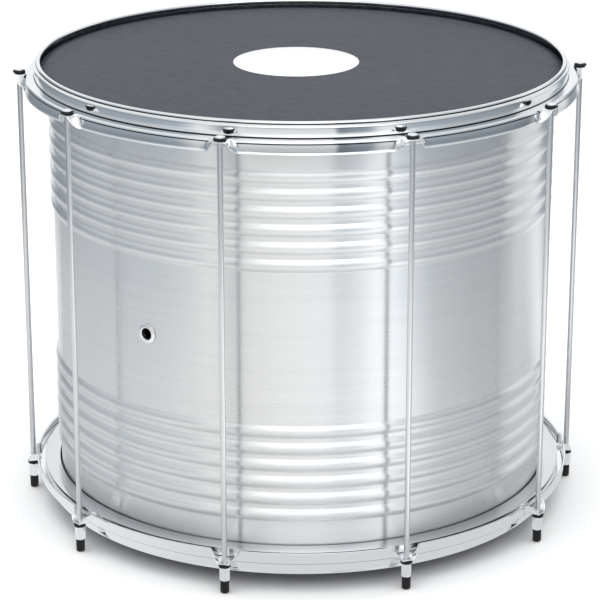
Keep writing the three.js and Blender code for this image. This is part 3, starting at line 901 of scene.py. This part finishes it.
# The panels that polished metal sees round it: (angle from the photograph's side, level, tone). NEAR is
# the floor round the drum, UNDER that beneath it, FAR the room and TOP what hangs overhead, none over PEAK.
PEAK = 2.0
BLUE, COOL, WARM = (0.80, 0.90, 1.0), (0.96, 0.985, 1.0), (1.0, 1.0, 0.97)
NEAR = [(-179, 1.20, COOL), (-145, 1.25, COOL), (-132, 1.00, COOL), (-122, 0.90, COOL), (-95, 0.95, COOL),
        (-60, 1.08, COOL), (-45, 1.20, WARM), (-30, 1.12, WARM), (-22, 1.10, WARM), (-5, 1.26, WARM),
        (16, 1.36, COOL), (27, 1.60, COOL), (38, 1.80, COOL), (46, 1.36, COOL), (54, 0.98, COOL),
        (66, 0.87, COOL), (75, 0.79, COOL), (112, 0.77, COOL), (120, 1.02, COOL), (128, 1.30, COOL),
        (145, 1.15, COOL), (179, 1.20, COOL)]
UNDER = [(-179, 0.85, COOL), (-60, 0.92, COOL), (-40, 0.86, COOL), (-20, 0.76, COOL), (20, 0.75, COOL),
         (60, 0.73, COOL), (179, 0.85, COOL)]
FAR = [(-179, 0.90, COOL), (-152, 0.90, COOL), (-144, 0.30, BLUE), (-125, 0.36, BLUE), (-100, 0.46, BLUE),
       (-60, 0.47, BLUE), (-48, 0.55, BLUE), (-40, 0.90, COOL), (-36, 0.80, COOL), (-30, 0.42, BLUE),
       (-26, 0.40, BLUE), (-25, 0.84, COOL), (13, 0.84, COOL), (14, 0.28, BLUE), (20, 0.37, BLUE),
       (26, 0.44, BLUE), (30, 0.85, COOL), (34, 0.95, COOL), (41, 0.58, BLUE), (55, 0.47, BLUE),
       (90, 0.38, BLUE), (100, 0.32, BLUE), (107, 0.88, COOL), (130, 0.88, COOL), (138, 0.38, BLUE),
       (150, 0.42, BLUE), (156, 0.90, COOL), (179, 0.90, COOL)]
TOP = [(-179, 1.10, COOL), (-140, 0.95, COOL), (-90, 0.78, COOL), (-60, 0.92, COOL), (-28, 1.10, WARM),
       (-13, 1.90, COOL), (37, 1.95, COOL), (50, 1.00, COOL), (72, 0.74, COOL), (100, 0.72, COOL),
       (140, 0.90, COOL), (179, 1.10, COOL)]

# Where the backdrop behind the drum starts and how wide the dark strip in front is, as shares of a turn
# aside of the photograph's side; then how high the strip and the wall reach, as a direction's upward part
BACKDROP, STRIP_WIDTH = (0.33, 0.40), (0.045, 0.065)
STRIP_TOP, WALL_TOP = (0.04, 0.10), (0.14, 0.50)
STRIP_TONE, WALL_LEVEL = (0.04, 0.04, 0.045), 1.12
# The soft light on everything that isn't polished, from below to above
SOFT_RISE, SOFT_TONES = (0.1, 0.9), ((0.46, 0.465, 0.47), (1.30, 1.31, 1.32))
WHITE = (1, 1, 1)

# The floor as metal sees it, by distance from the axis in metres: the drum's shadow ends, the floor
# beneath it ends, the room starts, and in front the room grows darker by a share
SHADOW_END, SHADOW_LEVEL, SHADOW_RISE = (0.34, 0.66), 0.575, 0.36
UNDER_END, ROOM_START, ROOM_FALL, FALL_SHARE = (0.40, 0.50), (1.15, 1.6), (1.6, 3.6), 0.3
FLOOR_HALF, FLOOR_TONE = 20, (0.98, 0.98, 0.98)


def turn_share(tree, way):
    """Where a direction lies round the axis from the photograph's side: 0 and 1 behind, 0.5 in front."""
    bearing = math.radians(CAMERA_BEARING)
    front = tree.vector("DOT_PRODUCT", {0: way, 1: (math.sin(bearing), -math.cos(bearing), 0)}, "Value")
    right = tree.vector("DOT_PRODUCT", {0: way, 1: (math.cos(bearing), math.sin(bearing), 0)}, "Value")
    return right.math("ARCTAN2", right, front) / (2 * math.pi) + 0.5


def aside(tree, way):
    """How far a direction lies aside of the photograph's side, as a share of a turn: 0.5 is behind."""
    return (turn_share(tree, way) - 0.5).math("ABSOLUTE")


def panels(tree, way, levels):
    """What polished metal sees round it, as levels by angle from the photograph's side."""
    stops = [(angle / 360 + 0.5, tuple(level / PEAK * part for part in tone))
             for angle, level, tone in levels]
    return tree.scaled(tree.node("ShaderNodeValToRGB", {"stops": stops}, {0: turn_share(tree, way)}), PEAK)


def studio():
    """The world: white to the camera, soft light to matt surfaces, and to polished ones the room's wall
    with a dark strip low in front and the panels overhead."""
    world = bpy.data.worlds.new("studio")
    bpy.context.scene.world = world
    tree = Tree(world)
    way = tree.node("ShaderNodeTexCoord", output="Generated")
    up = tree.node("ShaderNodeSeparateXYZ", None, {0: way}, output="Z")
    strip = (1 - aside(tree, way).between(*STRIP_WIDTH)) * (1 - up.between(*STRIP_TOP))
    wall = tree.tint(strip, tree.scaled(panels(tree, way, FAR), WALL_LEVEL), STRIP_TONE)
    room = tree.tint(up.between(*WALL_TOP), wall, panels(tree, way, TOP))
    soft = tree.tint(up.between(*SOFT_RISE), *SOFT_TONES)
    direct, glossy, through = (tree.node("ShaderNodeLightPath", output=f"Is {ray} Ray")
                               for ray in ("Camera", "Glossy", "Transmission"))
    seen = direct.math("MAXIMUM", direct, through)
    colour = tree.tint(seen, tree.tint(glossy, soft, room), WHITE)
    light = tree.node("ShaderNodeBackground", None, {"Color": colour, "Strength": 1.0})
    tree.node("ShaderNodeOutputWorld", None, {"Surface": light})


def sweep():
    """The floor's paint. Metal sees it lit but for the drum's own shadow, and beyond it the room's panels,
    which are darker far out in front."""
    tree = material("white_sweep")
    place, reach = tree.place(), tree.reach()
    lit = tree.scaled(panels(tree, place, NEAR), reach.between(*SHADOW_END) * SHADOW_RISE + SHADOW_LEVEL)
    near = tree.tint(reach.between(*UNDER_END), panels(tree, place, UNDER), lit)
    in_front = 1 - aside(tree, place).between(*BACKDROP)
    room = tree.scaled(panels(tree, place, FAR), 1 - reach.between(*ROOM_FALL) * in_front * FALL_SHARE)
    mirrored = tree.tint(reach.between(*ROOM_START), near, room)
    glow = tree.node("ShaderNodeEmission", None, {"Color": mirrored, "Strength": 1.0})
    paint = tree.node("ShaderNodeBsdfDiffuse", None, {"Color": (*FLOOR_TONE, 1)})
    glossy = tree.node("ShaderNodeLightPath", output="Is Glossy Ray")
    mixed = tree.node("ShaderNodeMixShader", None, {0: glossy, 1: paint, 2: glow})
    tree.node("ShaderNodeOutputMaterial", None, {"Surface": mixed})
    return tree.owner


def floor():
    """A square of white floor."""
    data = bpy.data.meshes.new("floor")
    corners = [(x * FLOOR_HALF, y * FLOOR_HALF, 0) for x, y in ((-1, -1), (1, -1), (1, 1), (-1, 1))]
    data.from_pydata(corners, [], [(0, 1, 2, 3)])
    data.materials.append(sweep())
    piece = bpy.data.objects.new("floor", data)
    bpy.context.scene.collection.objects.link(piece)


def lamp():
    """One wide soft lamp over the drum, which metal doesn't mirror."""
    light = bpy.data.lights.new("overhead", "AREA")
    light.shape = "DISK"
    light.size = LAMP_SIZE
    light.energy = LAMP_POWER
    piece = bpy.data.objects.new("overhead", light)
    piece.location = LAMP_PLACE
    piece.rotation_euler = [math.radians(tilt) for tilt in LAMP_TILT]
    piece.visible_glossy = False
    bpy.context.scene.collection.objects.link(piece)


def camera():
    """The photograph's view: the fitted place and pitch, turned about the axis by its bearing."""
    bearing = math.radians(CAMERA_BEARING)
    cos, sin = math.cos(bearing), math.sin(bearing)
    x, y, z = (part * MM for part in CAMERA_PLACE)
    data = bpy.data.cameras.new("photo_view")
    data.sensor_width = SENSOR
    data.lens = FOCAL_PIXELS / PHOTO_PIXELS * SENSOR
    data.clip_end = CAMERA_FAR
    piece = bpy.data.objects.new("photo_view", data)
    piece.location = (x * cos - y * sin, x * sin + y * cos, z)
    piece.rotation_euler = (math.pi / 2 - CAMERA_PITCH, 0, bearing)
    bpy.context.scene.collection.objects.link(piece)
    bpy.context.scene.camera = piece
    bpy.context.scene.view_settings.view_transform = "Standard"


camera()
studio()
lamp()
floor()
shell()
eyelet()
heads()
flesh_rings()
hoops()
fastenings()
centre_disc()
